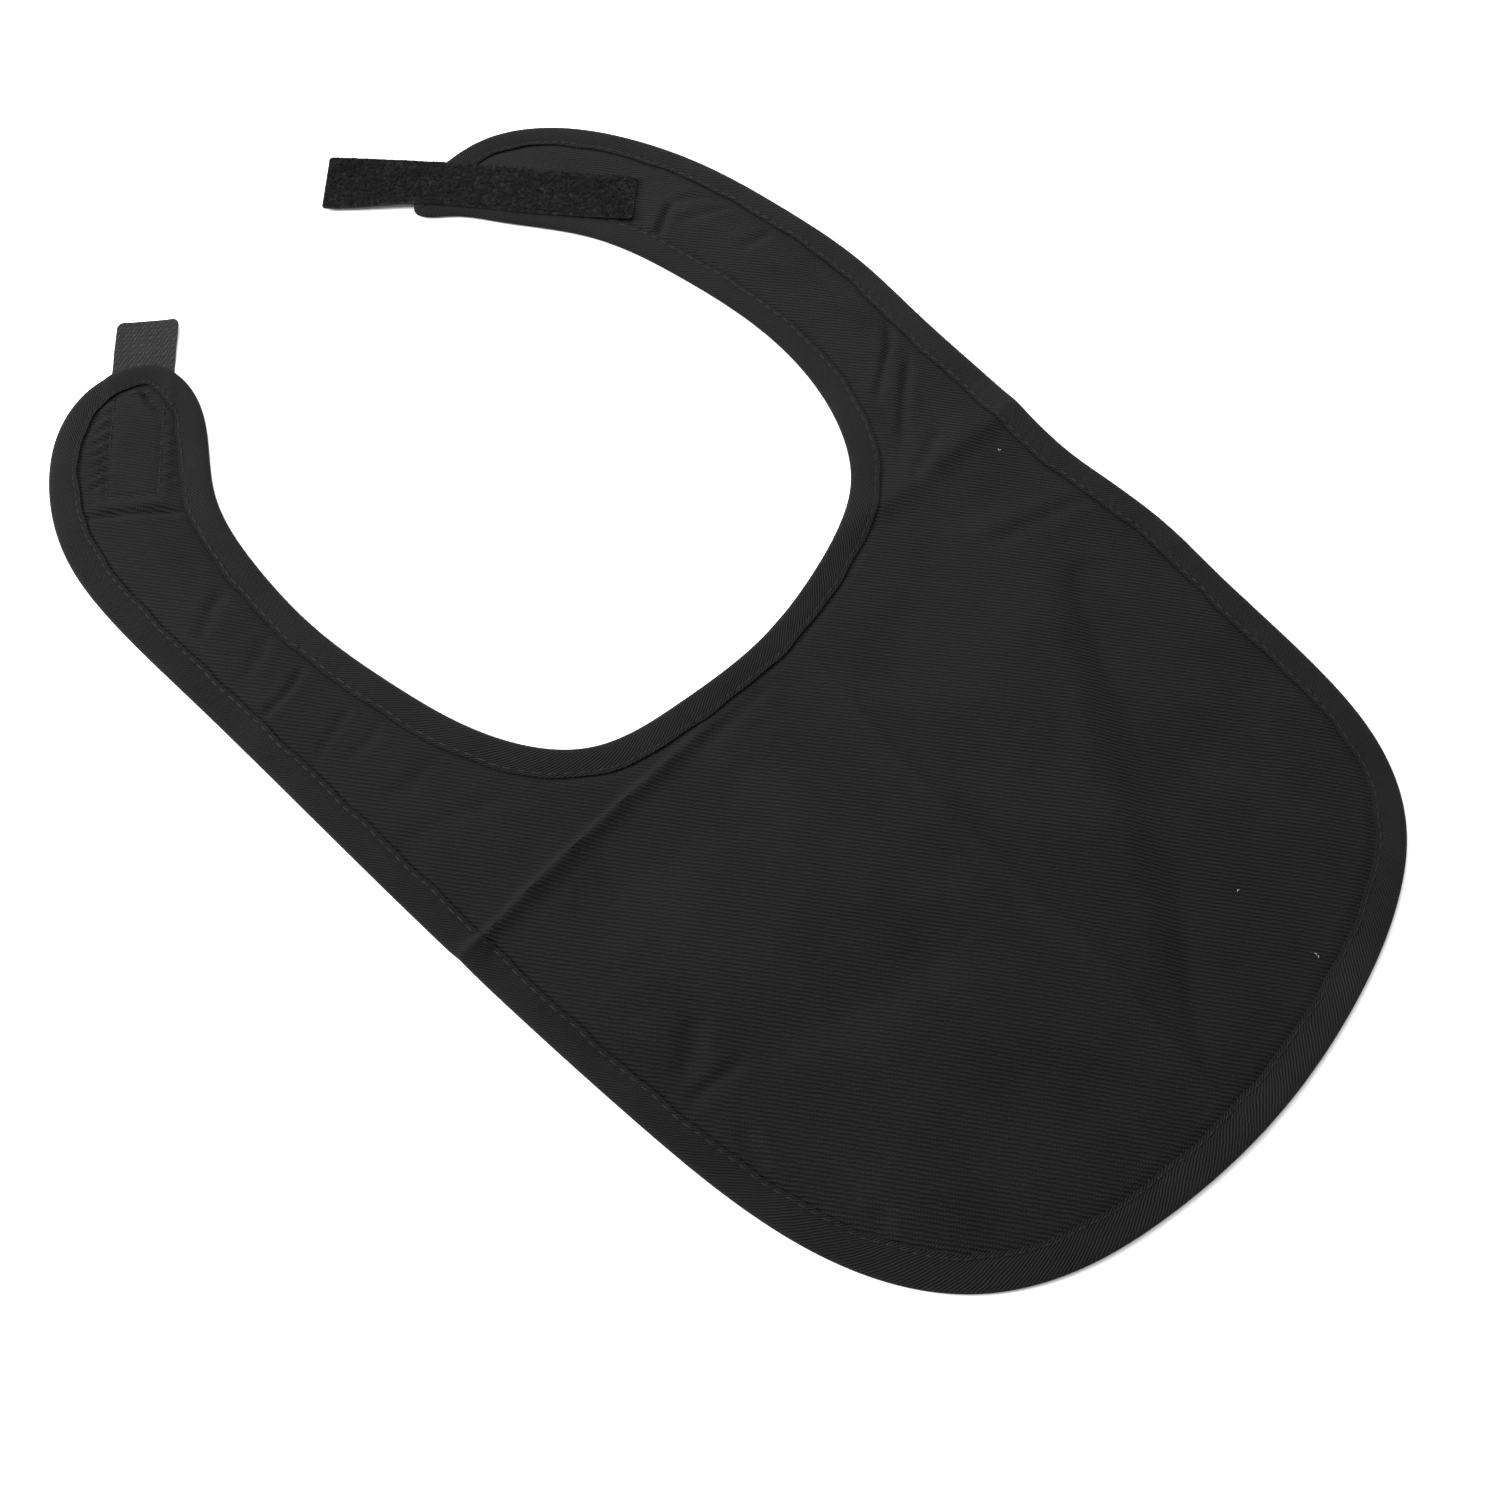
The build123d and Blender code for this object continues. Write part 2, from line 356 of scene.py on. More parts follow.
# Small creases of the front cover alone: path, depth and half width.
CREASES = [
    ([(-121, 154), (-104, 140), (-84, 123)], 1.8, 1.3),
    ([(-101, 99), (-110, 94), (-118, 88)], 0.9, 2.2),
    ([(-100, 77), (-108, 72), (-118, 68)], 0.55, 2.0),
    ([(-99, 61), (-109, 56), (-123, 54)], 1.0, 1.3),
    ([(-98, 40), (-108, 36), (-119, 32)], 0.55, 1.7),
    ([(-96, 30), (-104, 26), (-112, 27)], 0.5, 1.6),
    ([(-93, 10), (-104, 7), (-113, 10)], 0.5, 2.6),
    ([(-86, -14), (-106, -8), (-119, -4)], 0.5, 3.2),
    ([(121, 36), (111, 25), (100, 17.5), (89, 10)], 1.3, 1.5),
    ([(114, 19), (97, 5.5), (82, -8)], 1.3, 1.6),
    ([(99, -9), (84.5, -15.5), (72, -20)], 0.8, 2.4),
    ([(88, 112), (97.5, 118), (105.5, 121.5)], 1.8, 1.5),
    ([(104, 121.5), (112, 117), (118, 107.5)], 1.0, 2.0),
    ([(98, 113), (109, 109), (119, 105)], 0.7, 1.8),
    ([(104, 89), (112, 88), (121, 87)], 0.8, 2.2),
    ([(72, -51), (90, -55), (104, -58), (116, -63)], 0.9, 3.0),
    ([(-92, -98), (-100.5, -104.5), (-108, -110)], 1.4, 4.0),
    ([(-91, -116), (-101.5, -115), (-112, -114)], 1.0, 2.0),
    ([(-105, -127), (-107.5, -134.5), (-109, -141)], 1.0, 2.8),
    ([(-92, -167), (-99, -171), (-104, -174)], 0.6, 2.8),
    ([(-114, -55), (-105, -74), (-88, -82)], 0.5, 3.2),
    ([(-40, -41), (-3, -39)], 0.9, 2.6),
    ([(-74, 182), (-75.2, 177), (-76.2, 166)], 1.8, 1.0),
]


def creases(points, inside):
    """The front cover's own small creases, which end at the binding's seam."""
    rise = np.zeros(len(points))
    for path, drop, half_width in CREASES:
        rise += dent(points, path, drop, half_width)
        rise += dent(points, path, -LIP_HEIGHT * drop, LIP_WIDTH * half_width)
    rise += GRAIN_HEIGHT * waves(points, GRAIN_SIZE, 11)
    # Between the seam and the hook tape's box of stitches the cloth is gathered.
    along, across = tape_frame(HOOK_EDGE, HOOK_ANGLE, points)
    beside_box = np.exp(-((abs(across) - 11.0) / 2.6) ** 2)
    beside_box = beside_box * smooth(along, -53, -48) * smooth(-along, 8, 14)
    edge_gap = np.abs(np.maximum(abs(across) - 8.0, abs(along + 34.0) - 20.0))
    rise -= 0.45 * np.exp(-(edge_gap / 1.2) ** 2) * smooth(-along, 10, 16)
    gathers = np.where(across > 0, 0.75, 0.4) * beside_box
    rise += gathers * np.sin(math.tau * along / 4.8 + 0.6 * across + 1.3 * np.sin(along / 6.1))
    return rise * smooth(inside, 8.5, 12.0)


def pressed_in(points):
    """How far the creases may press on what lies under the front cover."""
    near_ridge, _, _ = off_line(points, LEFT_RIDGE)
    rise = -0.7 * np.exp(-(near_ridge / 6) ** 2)
    for path, drop, half_width in CREASES:
        rise += dent(points, path, 0.75 * drop, half_width + 4, 0.05)
    return rise


LEFT_LEAD_END = [(-140, 167.7), (-60, 110.6)]
RIGHT_LEAD_END = [(60, 99.2), (140, 136.8)]


def past_line(points, line, width, start=0.0):
    """0 before a line and 1 beyond it, on its upper side, with a soft step of that width."""
    a, b = np.array(line, float)
    along = (b - a) / np.linalg.norm(b - a)
    return smooth((points - a) @ np.array([-along[1], along[0]]), start, start + width)


def lead_missing(points):
    """1 in the arms' tips, which hold no lead, and 0 where the lead is."""
    left = past_line(points, LEFT_LEAD_END, 4.0) * (points[:, 0] < 0)
    right = past_line(points, RIGHT_LEAD_END, 4.0) * (points[:, 0] > 0)
    return left + right


CLOTH = 0.4             # one layer of the covers
SEAM_IN = 7.0           # the covers' cut edges lie this deep, under the binding


def front_top(points, inside):
    """Height of the front cover's outer side."""
    filled = 1 - 0.5 * lead_missing(points)
    swell = 0.47 * smooth(inside, 9.7, 11.4) + 0.6 * smooth(inside, 9.7, 27.0) * filled
    return lift(points, inside) + 1.38 + swell + creases(points, inside)


def back_bottom(points, inside):
    """Height of the back cover's outer side."""
    return lift(points, inside) + 0.65 - 0.62 * smooth(inside, 9.3, 13.0)


# ---------------------------------------------------------------- meshes

def add_mesh(name, points, faces, weave):
    """A smooth mesh from millimetres. weave is each point's place in the cloth before it was sewn."""
    mesh = bpy.data.meshes.new(name)
    mesh.from_pydata((np.asarray(points) * MM).tolist(), [], faces)
    corner = np.zeros(len(mesh.loops), int)
    mesh.loops.foreach_get("vertex_index", corner)
    layer = mesh.uv_layers.new(name="weave")
    layer.data.foreach_set("uv", np.asarray(weave, float)[corner].ravel())
    mesh.polygons.foreach_set("use_smooth", [True] * len(mesh.polygons))
    mesh.update()
    obj = bpy.data.objects.new(name, mesh)
    bpy.context.scene.collection.objects.link(obj)
    return obj


def tidy_mesh(obj, gap):
    """Merges points closer than gap and turns all faces outwards."""
    work = bmesh.new()
    work.from_mesh(obj.data)
    bmesh.ops.remove_doubles(work, verts=work.verts, dist=gap * MM)
    bmesh.ops.dissolve_degenerate(work, dist=0.2 * gap * MM, edges=work.edges)
    bmesh.ops.recalc_face_normals(work, faces=work.faces)
    work.to_mesh(obj.data)
    work.free()
    obj.data.set_sharp_from_angle(angle=math.radians(60))


def inner_loop(inset, step):
    """The outline drawn in by inset, without the loop that a tight corner would make."""
    every = max(1, round(step / EDGE_STEP))
    moved = EDGE[::every] + INWARD[::every] * inset
    inside, _ = depth(moved)
    return moved[inside > inset - 0.1]


def half_loop(side, inset, step):
    """One half of the drawn-in outline, closed along the centre crease. side is -1 or 1."""
    loop = inner_loop(inset, step)
    off = right_of_centre(loop)
    count = len(loop)
    turns = [i for i in range(count) if off[i] * off[(i + 1) % count] < 0]
    cuts = []
    for i in turns:
        j = (i + 1) % count
        part = off[i] / (off[i] - off[j])
        cuts.append(loop[i] * (1 - part) + loop[j] * part)
    first, second = turns
    run = loop[first + 1:second + 1]
    ends = (cuts[0], cuts[1])
    if off[first + 1] * side < 0:
        run = np.vstack([loop[second + 1:], loop[:first + 1]])
        ends = (cuts[1], cuts[0])
    heights = np.linspace(ends[1][1], ends[0][1], round(abs(ends[1][1] - ends[0][1]) / step) + 1)
    line = np.array(CENTRE[::-1], float)
    seam = np.stack([np.interp(heights, line[:, 1], line[:, 0]), heights], 1)
    return np.vstack([run, seam])


def fill(loop, step, keep):
    """Even triangles inside a loop: their points and faces. keep says which grid points are inside."""
    low, high = loop.min(0), loop.max(0)
    rows = np.arange(low[1], high[1], step * math.sqrt(3) / 2)
    grid = []
    for i, y in enumerate(rows):
        xs = np.arange(low[0] + (i % 2) * step / 2, high[0], step)
        grid.append(np.stack([xs, np.full(len(xs), y)], 1))
    grid = np.vstack(grid)
    grid = grid[keep(grid)]
    points = [Vector(p) for p in loop] + [Vector(p) for p in grid]
    made = geometry.delaunay_2d_cdt(points, [], [list(range(len(loop)))], 1, 1e-5)
    flat = np.array([(v.x, v.y) for v in made[0]])
    return flat, [list(f) for f in made[2]]


def nowhere(points):
    return np.zeros(len(points))


def cut_half(side, inset, step, leave_out=nowhere):
    """Half a sheet, from the drawn-in outline to the centre crease, without what leave_out marks.

    It gives the cut line, the points and faces of even triangles, and the points' depth inside.
    """
    sign = SIDES[side]
    loop = half_loop(sign, inset, step)
    loop = loop[leave_out(loop) < 0.01]

    def keep(grid):
        inside, _ = depth(grid)
        beside_crease = right_of_centre(grid) * sign > 0.6 * step
        return beside_crease & (inside > inset + 0.6 * step) & (leave_out(grid) < 0.01)
    flat, faces = fill(loop, step, keep)
    inside, _ = depth(flat)
    return loop, flat, faces, inside


def rim_edges(faces):
    """The edges with a face on one side only, in the direction of their face."""
    seen = {}
    for face in faces:
        for a, b in zip(face, face[1:] + face[:1]):
            seen[(a, b)] = True
    return [(a, b) for a, b in seen if (b, a) not in seen]


def thin_slab(name, faces, top, bottom, flat):
    """A closed sheet: the same triangles through top and bottom points, joined round the rim."""
    count = len(flat)
    under = [[b + count for b in reversed(face)] for face in faces]
    rim = [[b, a, a + count, b + count] for a, b in rim_edges(faces)]
    obj = add_mesh(name, np.vstack([top, bottom]), faces + under + rim, np.vstack([flat, flat]))
    tidy_mesh(obj, 0.001)
    return obj


# ---------------------------------------------------------------- materials

class Shader:
    """A Principled material and short ways to add the nodes that feed it."""

    def __init__(self, name):
        self.material = bpy.data.materials.new(name)
        self.material.use_nodes = True
        self.tree = self.material.node_tree
        self.surface = self.tree.nodes["Principled BSDF"]

    def put(self, socket, value):
        """A link where value is another node's socket, or else a constant."""
        if isinstance(value, bpy.types.NodeSocket):
            self.tree.links.new(value, socket)
        else:
            socket.default_value = value

    def set(self, **values):
        for name, value in values.items():
            self.put(self.surface.inputs[name.replace("_", " ")], value)

    def math(self, operation, *values):
        node = self.tree.nodes.new("ShaderNodeMath")
        node.operation = operation
        for socket, value in zip(node.inputs, values):
            self.put(socket, value)
        return node.outputs[0]

    def weave_place(self):
        """The place in the uncut cloth, in millimetres, as x and y."""
        node = self.tree.nodes.new("ShaderNodeUVMap")
        node.uv_map = "weave"
        split = self.tree.nodes.new("ShaderNodeSeparateXYZ")
        self.tree.links.new(node.outputs[0], split.inputs[0])
        return node.outputs[0], split.outputs[0], split.outputs[1]

    def noise(self, place, scale, detail=2.0, rough=0.5):
        node = self.tree.nodes.new("ShaderNodeTexNoise")
        node.inputs["Scale"].default_value = scale
        node.inputs["Detail"].default_value = detail
        node.inputs["Roughness"].default_value = rough
        self.tree.links.new(place, node.inputs["Vector"])
        return node.outputs["Fac"]

    def along(self, x, y, degrees):
        """The place measured in one direction."""
        angle = math.radians(degrees)
        first = self.math("MULTIPLY", x, math.cos(angle))
        return self.math("MULTIPLY_ADD", y, math.sin(angle), first)

    def threads(self, across, pitch, wobble):
        """Rounded threads side by side, 0 in the gaps and 1 on top."""
        turns = self.math("MULTIPLY_ADD", across, math.tau / pitch, wobble)
        wave = self.math("SINE", turns)
        return self.math("MULTIPLY_ADD", wave, 0.5, 0.5)

    def ramp(self, value, *stops):
        """A colour ramp from (position, grey or colour) stops."""
        node = self.tree.nodes.new("ShaderNodeValToRGB")
        elements = node.color_ramp.elements
        while len(elements) < len(stops):
            elements.new(0.5)
        for element, (position, colour) in zip(elements, stops):
            element.position = position
            tone = colour if isinstance(colour, tuple) else (colour, colour, colour)
            element.color = (*tone, 1.0)
        self.tree.links.new(value, node.inputs[0])
        return node.outputs[0]

    def bump(self, height, depth_mm, strength=1.0):
        node = self.tree.nodes.new("ShaderNodeBump")
        node.inputs["Strength"].default_value = strength
        node.inputs["Distance"].default_value = depth_mm * MM
        self.tree.links.new(height, node.inputs["Height"])
        self.tree.links.new(node.outputs[0], self.surface.inputs["Normal"])


def twill(name, tone, rib_angle, rib_pitch, relief):
    """Black cotton twill: slanting ribs cut across by finer threads, a little faded in patches."""
    s = Shader(name)
    place, x, y = s.weave_place()
    wobble = s.math("MULTIPLY", s.noise(place, 0.35, 3.0), 5.0)
    ribs = s.threads(s.along(x, y, rib_angle), rib_pitch, wobble)
    cross = s.threads(s.along(x, y, rib_angle + 62.0), rib_pitch * 0.62, wobble)
    grain = s.noise(place, 2.6, 3.0, 0.65)
    woven = s.math("MULTIPLY", ribs, s.math("MULTIPLY_ADD", cross, 0.35, 0.65))
    height = s.math("MULTIPLY_ADD", grain, 0.55, woven)
    faded = s.noise(place, 0.035, 4.0, 0.55)
    shade = s.math("MULTIPLY_ADD", faded, 0.5, s.math("MULTIPLY", height, 0.55))
    s.set(Base_Color=s.ramp(shade, (0.2, tone * 0.15), (0.9, tone * 2.1)))
    s.set(Roughness=s.math("MULTIPLY_ADD", grain, 0.16, 0.58))
    s.set(Sheen_Weight=0.01, Sheen_Roughness=0.45, Specular_IOR_Level=0.07)
    s.bump(height, relief)
    return s.material


def sewing_thread():
    """Twisted polyester thread with a slight gloss."""
    s = Shader("black_thread")
    place, x, y = s.weave_place()
    twist = s.threads(s.along(x, y, 55.0), 0.35, 0.0)
    patchy = s.noise(place, 0.09, 2.0)
    shade = s.math("MULTIPLY_ADD", twist, 0.4, s.math("MULTIPLY", patchy, 0.6))
    s.set(Base_Color=s.ramp(shade, (0.35, 0.0015), (0.7, 0.008)))
    s.set(Roughness=0.42, Specular_IOR_Level=0.16)
    s.bump(twist, 0.04)
    return s.material


def lead_vinyl():
    """Grey lead-filled vinyl, faintly mottled and dull."""
    s = Shader("lead_vinyl")
    place, _, _ = s.weave_place()
    cloudy = s.noise(place, 0.08, 5.0, 0.6)
    pits = s.noise(place, 3.0, 2.0)
    s.set(Base_Color=s.ramp(cloudy, (0.3, (0.16, 0.17, 0.19)), (0.7, (0.24, 0.25, 0.27))))
    s.set(Roughness=s.math("MULTIPLY_ADD", pits, 0.2, 0.45))
    s.bump(pits, 0.03)
    return s.material


def hook_tape_back():
    """Woven nylon: rows of short slanting floats, greyer and glossier than the cloth."""
    s = Shader("hook_tape_weave")
    place, x, y = s.weave_place()
    grit = s.math("MULTIPLY", s.noise(place, 0.8, 3.0, 0.6), 7.0)
    lean = s.math("MULTIPLY_ADD", s.threads(y, 2.6, 0.0), 2.2, grit)
    rows = s.threads(x, 1.5, grit)
    floats = s.threads(s.along(x, y, 64.0), 1.1, lean)
    grain = s.noise(place, 2.2, 3.0, 0.6)
    woven = s.math("MULTIPLY", floats, s.math("MULTIPLY_ADD", rows, 0.6, 0.4))
    height = s.math("MULTIPLY_ADD", grain, 0.3, woven)
    s.set(Base_Color=s.ramp(height, (0.2, 0.0008), (0.9, 0.0135)))
    s.set(Roughness=s.math("MULTIPLY_ADD", grain, 0.2, 0.45), Specular_IOR_Level=0.15)
    s.set(Sheen_Weight=0.03, Sheen_Roughness=0.4)
    s.bump(height, 0.22)
    return s.material


def loop_pile():
    """Brushed nylon loops, dark between and grey where they catch the light."""
    s = Shader("loop_pile")
    place, _, _ = s.weave_place()
    tufts = s.noise(place, 0.9, 3.0, 0.7)
    fine = s.noise(place, 4.0, 2.0, 0.6)
    shade = s.math("MULTIPLY_ADD", fine, 0.4, s.math("MULTIPLY", tufts, 0.6))
    s.set(Base_Color=s.ramp(shade, (0.3, 0.0020), (0.75, 0.0115)))
    s.set(Roughness=s.math("MULTIPLY_ADD", fine, 0.2, 0.6), Specular_IOR_Level=0.10)
    s.set(Sheen_Weight=0.01, Sheen_Roughness=0.5)
    s.bump(fine, 0.05)
    return s.material


def lint_fibre():
    """Pale grey dust and lint."""
    s = Shader("pale_lint")
    place, _, _ = s.weave_place()
    fuzz = s.noise(place, 5.0, 2.0)
    s.set(Base_Color=s.ramp(fuzz, (0.3, 0.30), (0.7, 0.55)), Roughness=0.9)
    s.bump(fuzz, 0.02)
    return s.material


def pale_floor():
    """Plain matt paper, a studio sweep."""
    s = Shader("pale_floor")
    node = s.tree.nodes.new("ShaderNodeTexCoord")
    soft = s.noise(node.outputs["Object"], 3.0, 2.0)
    s.set(Base_Color=s.ramp(soft, (0.3, 0.90), (0.7, 0.92)), Roughness=0.9)
    s.set(Specular_IOR_Level=0.1)
    return s.material


COVER = twill("cover_twill", tone=0.0039, rib_angle=36.0, rib_pitch=1.15, relief=0.42)
BINDING = twill("binding_twill", tone=0.0042, rib_angle=52.0, rib_pitch=0.80, relief=0.30)
THREAD = sewing_thread()
LEAD = lead_vinyl()
HOOK_WEAVE = hook_tape_back()
PILE = loop_pile()
LINT = lint_fibre()
CAD_MATERIAL = {
    "cover": COVER,
    "binding": BINDING,
    "thread": THREAD,
    "lead": LEAD,
    "hook": HOOK_WEAVE,
    "loop": PILE,
}


def dress(obj, material, slot):
    obj.data.materials.clear()
    obj.data.materials.append(material)


# ---------------------------------------------------------------- floor

FLOOR_REACH = 4000.0


def add_floor():
    reach = FLOOR_REACH
    corners = [(-reach, -reach, 0), (reach, -reach, 0), (reach, reach, 0), (-reach, reach, 0)]
    floor = add_mesh("studio_floor", corners, [[0, 1, 2, 3]], [(x, y) for x, y, _ in corners])
    floor.data.materials.append(pale_floor())


add_floor()

# ---------------------------------------------------------------- fold lines at the joints

BEND_LENGTH = 12.0      # of cloth that turns when an arm folds back
LEFT_CUT = [(-140, -46.7), (-20, -21.2)]
RIGHT_CUT = [(20, -20.6), (140, -20.6)]
FOLD_LINE = {"left": LEFT_CUT, "right": RIGHT_CUT}


def bend_with_arm(obj):
    """Bakes the piece's placement into its points."""
    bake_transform(obj)


def stand_for(side, kind):
    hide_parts(f"bib_{kind}", f"{ARM[side]}_{kind}")


# ---------------------------------------------------------------- covers and lead

FRONT_STEP = 1.35       # the sizes of the triangles
BACK_STEP = 1.9
LEAD_STEP = 2.5
LEAD_IN = 14.0          # the lead sheets end this deep inside the outline
LEAD_ROOM = 0.25        # at least this much is kept for the two of them
LEAD_SHARE = {"back": (0.04, 0.48), "front": (0.52, 0.96)}
COVER_LOOKS = (COVER, "twill_cover")
LEAD_LOOKS = (LEAD, "lead_vinyl")


def lay_sheet(kind, side, cut, top, bottom, looks):
    """Makes half a cover or lead sheet between two heights, in place of the CAD parts it stands for."""
    loop, flat, faces, _ = cut
    surfaces = [np.column_stack([flat, height]) for height in (top, bottom)]
    obj = thin_slab(f"{kind}_{side}", faces, *surfaces, flat)
    dress(obj, *looks)
    bend_with_arm(obj)
    stand_for(side, kind)


def make_front_cover(side):
    cut = cut_half(side, SEAM_IN, FRONT_STEP)
    _, flat, _, inside = cut
    top = front_top(flat, inside)
    lay_sheet("front_cover", side, cut, top, top - CLOTH, COVER_LOOKS)


def make_back_cover(side):
    cut = cut_half(side, SEAM_IN, BACK_STEP)
    _, flat, _, inside = cut
    bottom = back_bottom(flat, inside)
    lay_sheet("back_cover", side, cut, bottom + CLOTH, bottom, COVER_LOOKS)


def in_bend(points, side):
    """1 in the strip that turns when the arm folds, with soft ends."""
    begun = past_line(points, FOLD_LINE[side], 5.0, -6.0)
    return begun - past_line(points, FOLD_LINE[side], 5.0, BEND_LENGTH + 1.0)


def clear_of_back(points, inside, side):
    """How far the lead keeps off the back cover, in the bends and under the left ridge."""
    off_ridge, _, _ = off_line(points, LEFT_RIDGE)
    at_bend = (0.55 + 0.4 * smooth(inside, 14, 24)) * in_bend(points, side)
    return np.maximum(at_bend, 0.8 * np.exp(-(off_ridge / 5.0) ** 2))


def make_lead_sheet(side, layer):
    """One of the two lead sheets. They share the room between the covers."""
    cut = cut_half(side, LEAD_IN, LEAD_STEP, lead_missing)
    _, flat, _, inside = cut
    low = back_bottom(flat, inside) + CLOTH + clear_of_back(flat, inside, side)
    high = lift(flat, inside) + 1.20 + 0.6 * smooth(inside, 9.5, 27.0) + pressed_in(flat)
    high -= 0.15 * in_bend(flat, side)
    high = np.maximum(high, low + LEAD_ROOM)
    bottom, top = (low + (high - low) * part for part in LEAD_SHARE[layer])
    lay_sheet(f"{layer}_lead_sheet", side, cut, top, bottom, LEAD_LOOKS)


# ---------------------------------------------------------------- edge binding

BINDING_IN = 9.3        # the binding's usual width on the face of the apron
STITCH_IN = 1.15        # from the binding's inner edge to the row of stitches
STITCH_PITCH = 3.7
STITCH_LENGTH = 3.1
BINDING_PLY = 0.45


def binding_width(place):
    """The binding's width at places along the outline. It wanders, because it is sewn by hand."""
    turn = math.tau * np.asarray(place) / EDGE_LENGTH
    slow = 0.35 * np.sin(5 * turn + 1.0) + 0.30 * np.sin(11 * turn + 2.2)
    fine = 0.22 * np.sin(61 * turn) + 0.14 * np.sin(113 * turn + 0.7)
    return BINDING_IN + slow + fine


# Across the binding from its lower inner edge, round the outside, to its upper inner edge:
# depth as a share of the width, or in millimetres near the outside, and height.
BINDING_OUTER = [
    ("width", 0.00, 0.10), ("width", -1.3, 0.12), ("width", -2.6, 0.04), ("share", 0.45, 0.00),
    ("edge", 2.0, 0.00), ("edge", 0.8, 0.16), ("edge", 0.2, 0.55), ("edge", 0.0, 1.05),
    ("edge", 0.2, 1.55), ("edge", 0.8, 2.00), ("edge", 1.8, 2.24), ("share", 0.36, 2.30),
    ("share", 0.55, 2.26), ("width", -2.9, 2.20), ("width", -2.0, 2.10), ("width", -1.3, 1.92),
    ("width", -0.6, 2.06), ("width", 0.0, 2.02),
]


def furthest_in(place, most):
    """How deep the inward line from each place may go before it is nearer to another edge."""
    point, inward = edge_at(place)
    reach = np.full(len(place), most)
    for trial in np.arange(most, 1.0, -0.5):
        inside, _ = depth(point + inward * trial)
        crowded = inside < trial - 0.12
        reach = np.where(crowded, np.minimum(reach, trial - 0.5), reach)
    return np.maximum(reach, 1.0)


def binding_places(side):
    """Places along the half of the outline on one side of the centre crease."""
    off = right_of_centre(EDGE) * SIDES[side]
    count = len(EDGE)
    starts = [i for i in range(count) if off[i - 1] < 0 <= off[i]]
    ends = [i for i in range(count) if off[i - 1] >= 0 > off[i]]
    first = starts[0] * EDGE_LENGTH / count
    last = ends[0] * EDGE_LENGTH / count
    if last < first:
        last += EDGE_LENGTH
    steps = round((last - first) / (STITCH_PITCH / 4))
    return np.linspace(first, last, steps + 1)


def binding_profile(place):
    """Depth and height of each line of the binding's outer skin, at each place."""
    width = binding_width(place)
    depths, heights = [], []
    for kind, value, height in BINDING_OUTER:
        if kind == "width":
            depths.append(width + value)
        elif kind == "share":
            depths.append(width * value)
        else:
            depths.append(np.full(len(place), value))
        heights.append(np.full(len(place), height))
    return np.array(depths), np.array(heights)


def binding_surface(side):
    place = binding_places(side)
    depths, heights = binding_profile(place)
    depths = np.minimum(depths, furthest_in(place, float(depths.max())))
    point, inward = edge_at(place)
    pucker = np.sin(math.tau * place / STITCH_PITCH)
    near_row = np.exp(-((depths - (binding_width(place) - STITCH_IN)) / 1.6) ** 2)
    top_side = heights > 1.2
    heights = heights + np.where(top_side, 0.10, 0.0) * near_row * pucker
    line = np.stack([place, place], 1)
    roll = 0.06 * waves(line, 16, 21) + 0.025 * waves(line, 5, 22)
    heights = heights + np.where(top_side, roll * smooth(depths, 0.5, 3), 0)
    outer = point[None] + inward[None] * depths[..., None]
    rows, columns = depths.shape
    flat = outer.reshape(-1, 2)
    inside, _ = depth(flat)
    floor_gap = lift(flat, np.maximum(inside, 0)).reshape(rows, columns)
    return place, depths, outer, heights + floor_gap


def make_binding(side):
    place, depths, outer, height = binding_surface(side)
    rows, columns = depths.shape
    # The inner skin is the outer one moved a ply towards the middle of the folded tape.
    middle = len(BINDING_OUTER) // 2 - 1
    ply = np.full(rows, BINDING_PLY)
    lean = np.clip((np.arange(rows) - middle + 0.5) / 3.5, -1, 1)
    sunk = height - (lean * ply)[:, None]
    point, inward = edge_at(place)
    pushed = depths + ((1 - np.abs(lean)) * BINDING_PLY)[:, None]
    inner = point[None] + inward[None] * pushed[..., None]
    skin = np.concatenate([outer, inner[::-1]])
    skin_height = np.concatenate([height, sunk[::-1]])
    points = np.concatenate([skin, skin_height[..., None]], 2).reshape(-1, 3)
    cut = np.concatenate([[0], np.cumsum(np.abs(np.diff(depths.mean(1))) + 0.2)])
    cut = np.concatenate([cut, cut[::-1]])
    weave = np.stack(np.broadcast_arrays(place[None], cut[:, None]), 2).reshape(-1, 2)
    ring = 2 * rows
    faces = []
    for i in range(ring):
        j = (i + 1) % ring
        for k in range(columns - 1):
            a, b = i * columns + k, j * columns + k
            faces.append([a, b, b + 1, a + 1])
    faces.append([i * columns for i in range(ring)])
    faces.append([i * columns + columns - 1 for i in reversed(range(ring))])
    obj = add_mesh(f"edge_binding_{side}", points, faces, weave)
    tidy_mesh(obj, 0.02)
    dress(obj, BINDING, "binding_tape")
    bend_with_arm(obj)
    stand_for(side, "edge_binding")
    return obj


# ---------------------------------------------------------------- stitches

THREAD_WIDE = 0.42
THREAD_HIGH = 0.30
STITCH_SIDES = 6
STITCH_RINGS = (0.0, 0.07, 0.2, 0.5, 0.8, 0.93, 1.0)
STITCH_ARCH, STITCH_SUNK = 0.22, 0.16
# Height of the two rows over the underside of the apron, and how the stitches arch, upwards.
SEAM_ROWS = [(1.98, 1.0), (0.12, -0.3)]
SEAM_SEED = {"left": 31, "right": 32}


